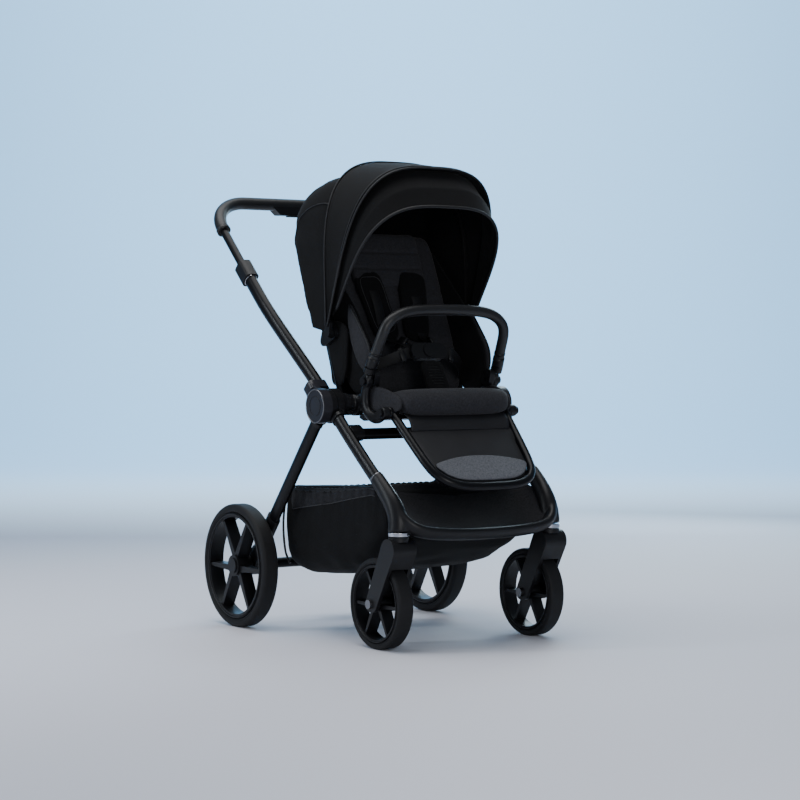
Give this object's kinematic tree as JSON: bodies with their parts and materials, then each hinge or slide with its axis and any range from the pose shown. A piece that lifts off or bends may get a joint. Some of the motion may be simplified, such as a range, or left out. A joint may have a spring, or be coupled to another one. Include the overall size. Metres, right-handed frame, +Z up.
{
  "type": "baby stroller",
  "caption": "Folding baby stroller: A-frame chassis with basket, telescopic handle, swivelling front wheels and a lift-off reclining seat with canopy, leg rest and bumper bar.",
  "frame": {"origin": "on the floor, under the middle of the overall box", "axes": "+Z up, +Y to the rear (handle), -Y to the front, +X to the pusher's left"},
  "size_m": [0.5784, 0.8346, 1.0697],
  "materials": {
    "gloss_tube": "gloss black anodised",
    "black_plastic": "fine grained black",
    "hub_cover": "satin dark grey",
    "chrome_trim": "polished",
    "steel": "brushed",
    "tyre": "foam rubber tread",
    "leatherette": "fine grain, stitched",
    "black_cloth": "fine plain weave",
    "melange_cloth": "melange weave",
    "lining_cloth": "soft knit",
    "charcoal_panel": "coated charcoal"
  },
  "bodies": {
    "front_frame": {"nose_frame": "black_plastic", "caster_rings": "chrome_trim", "front_legs": "gloss_tube", "hub_housings": "black_plastic", "hub_pins": "steel", "seat_cross_tube": "gloss_tube", "cross_tube_sleeves": "black_plastic", "seat_mounts": "black_plastic", "basket": "black_cloth", "basket_front_cover": "melange_cloth", "basket_rails": "gloss_tube"},
    "handle": {"handle_tubes": "gloss_tube", "hub_covers": "hub_cover", "height_clamps": "black_plastic"},
    "handle_upper": {"handle_bar": "gloss_tube", "handle_grip": "leatherette", "fold_lock_box": "black_plastic"},
    "fold_trigger": {"fold_trigger": "black_plastic"},
    "rear_frame": {"rear_legs": "gloss_tube", "rear_leg_brackets": "black_plastic", "axle_housings": "black_plastic", "rear_axle_tube": "gloss_tube", "rear_axle": "steel"},
    "brake_pedal": {"brake_pedal": "black_plastic"},
    "rear_wheel_left": {"rear_rim_left": "black_plastic", "rear_tyre_left": "tyre"},
    "rear_wheel_right": {"rear_rim_right": "black_plastic", "rear_tyre_right": "tyre"},
    "caster_left": {"caster_fork_left": "black_plastic", "front_axle_left": "steel"},
    "caster_right": {"caster_fork_right": "black_plastic", "front_axle_right": "steel"},
    "front_wheel_left": {"front_rim_left": "black_plastic", "front_tyre_left": "tyre"},
    "front_wheel_right": {"front_rim_right": "black_plastic", "front_tyre_right": "tyre"},
    "seat": {"seat_pan": "black_plastic", "seat_arms": "black_plastic", "seat_cushion": "lining_cloth", "crotch_pad": "lining_cloth", "harness_buckle": "black_plastic"},
    "harness_button": {"harness_button": "black_plastic"},
    "backrest": {"backrest_frame": "gloss_tube", "backrest_cushion": "lining_cloth", "seat_side_wings": "black_cloth", "shoulder_pads": "lining_cloth", "canopy_rear": "black_cloth", "canopy_clips": "black_plastic"},
    "recline_lever": {"recline_lever": "black_plastic"},
    "canopy": {"canopy_main": "black_cloth", "canopy_hinges": "black_plastic"},
    "visor": {"canopy_visor": "black_cloth"},
    "bumper": {"bumper_bar": "leatherette", "bumper_ends": "black_plastic"},
    "bumper_button_left": {"bumper_button_left": "black_plastic"},
    "bumper_button_right": {"bumper_button_right": "black_plastic"},
    "leg_rest": {"leg_rest_frame": "gloss_tube", "leg_rest_panel": "charcoal_panel"},
    "leg_rest_button_left": {"leg_rest_button_left": "black_plastic"},
    "leg_rest_button_right": {"leg_rest_button_right": "black_plastic"}
  },
  "joints": [
    {"name": "handle_fold", "type": "hinge", "parent": "front_frame", "child": "handle", "pos_m": [0, -0.09819, 0.519], "axis": [1, 0, 0], "range_deg": [0, 118]},
    {"name": "handle_height", "type": "slide", "parent": "handle", "child": "handle_upper", "axis": [0, 0.7254, 0.6884], "range_m": [-0.1, 0]},
    {"name": "fold_trigger", "type": "slide", "parent": "handle_upper", "child": "fold_trigger", "axis": [1, 0, 0], "range_m": [0, 0.012], "stiffness_N_per_m": 120, "springref_m": -0.004},
    {"name": "rear_leg_fold", "type": "hinge", "parent": "front_frame", "child": "rear_frame", "pos_m": [0, -0.09819, 0.519], "axis": [1, 0, 0], "range_deg": [-35.4, 0]},
    {"name": "rear_wheel_spin_left", "type": "hinge", "parent": "rear_frame", "child": "rear_wheel_left", "pos_m": [0.2657, 0.21431, 0.1425], "axis": [1, 0, 0], "continuous": true},
    {"name": "rear_wheel_spin_right", "type": "hinge", "parent": "rear_frame", "child": "rear_wheel_right", "pos_m": [-0.2657, 0.21431, 0.1425], "axis": [1, 0, 0], "continuous": true},
    {"name": "brake_pedal", "type": "hinge", "parent": "rear_frame", "child": "brake_pedal", "pos_m": [0, 0.21431, 0.1425], "axis": [1, 0, 0], "range_deg": [0, 18]},
    {"name": "caster_swivel_left", "type": "hinge", "parent": "front_frame", "child": "caster_left", "pos_m": [0.2024, -0.34759, 0.24], "axis": [0, 0, 1], "continuous": true},
    {"name": "caster_swivel_right", "type": "hinge", "parent": "front_frame", "child": "caster_right", "pos_m": [-0.2024, -0.34759, 0.24], "axis": [0, 0, 1], "continuous": true},
    {"name": "front_wheel_spin_left", "type": "hinge", "parent": "caster_left", "child": "front_wheel_left", "pos_m": [0.2024, -0.28119, 0.0984], "axis": [1, 0, 0], "continuous": true},
    {"name": "front_wheel_spin_right", "type": "hinge", "parent": "caster_right", "child": "front_wheel_right", "pos_m": [-0.2024, -0.28119, 0.0984], "axis": [1, 0, 0], "continuous": true},
    {"name": "seat_lift_off", "type": "slide", "parent": "front_frame", "child": "seat", "axis": [0, 0, 1], "range_m": [0, 0.12]},
    {"name": "harness_button", "type": "slide", "parent": "seat", "child": "harness_button", "axis": [0, 0.9397, -0.3419], "range_m": [0, 0.003], "stiffness_N_per_m": 300, "springref_m": -0.002},
    {"name": "backrest_recline", "type": "hinge", "parent": "seat", "child": "backrest", "pos_m": [0, -0.13119, 0.52], "axis": [1, 0, 0], "range_deg": [-28, 0]},
    {"name": "recline_lever", "type": "slide", "parent": "backrest", "child": "recline_lever", "axis": [0, 0.3746, 0.9272], "range_m": [0, 0.008], "stiffness_N_per_m": 300, "springref_m": -0.004},
    {"name": "canopy_fold", "type": "hinge", "parent": "backrest", "child": "canopy", "pos_m": [0, -0.04919, 0.68], "axis": [1, 0, 0], "range_deg": [-11, 0]},
    {"name": "visor_flip", "type": "hinge", "parent": "canopy", "child": "visor", "pos_m": [0, -0.04919, 0.68], "axis": [1, 0, 0], "range_deg": [-9, 0]},
    {"name": "bumper_pivot", "type": "hinge", "parent": "seat", "child": "bumper", "pos_m": [0, -0.17919, 0.574], "axis": [1, 0, 0], "range_deg": [0, 80]},
    {"name": "bumper_button_left", "type": "slide", "parent": "seat", "child": "bumper_button_left", "axis": [-1, 0, 0], "range_m": [0, 0.003], "stiffness_N_per_m": 300, "springref_m": -0.002},
    {"name": "bumper_button_right", "type": "slide", "parent": "seat", "child": "bumper_button_right", "axis": [1, 0, 0], "range_m": [0, 0.003], "stiffness_N_per_m": 300, "springref_m": -0.002},
    {"name": "leg_rest_hinge", "type": "hinge", "parent": "seat", "child": "leg_rest", "pos_m": [0, -0.24619, 0.506], "axis": [1, 0, 0], "range_deg": [-45, 10]},
    {"name": "leg_rest_button_left", "type": "slide", "parent": "seat", "child": "leg_rest_button_left", "axis": [-1, 0, 0], "range_m": [0, 0.003], "stiffness_N_per_m": 300, "springref_m": -0.002},
    {"name": "leg_rest_button_right", "type": "slide", "parent": "seat", "child": "leg_rest_button_right", "axis": [1, 0, 0], "range_m": [0, 0.003], "stiffness_N_per_m": 300, "springref_m": -0.002}
  ],
  "couplings": [
    {"joint": "rear_leg_fold", "follows": "handle_fold", "ratio": -0.3}
  ]
}
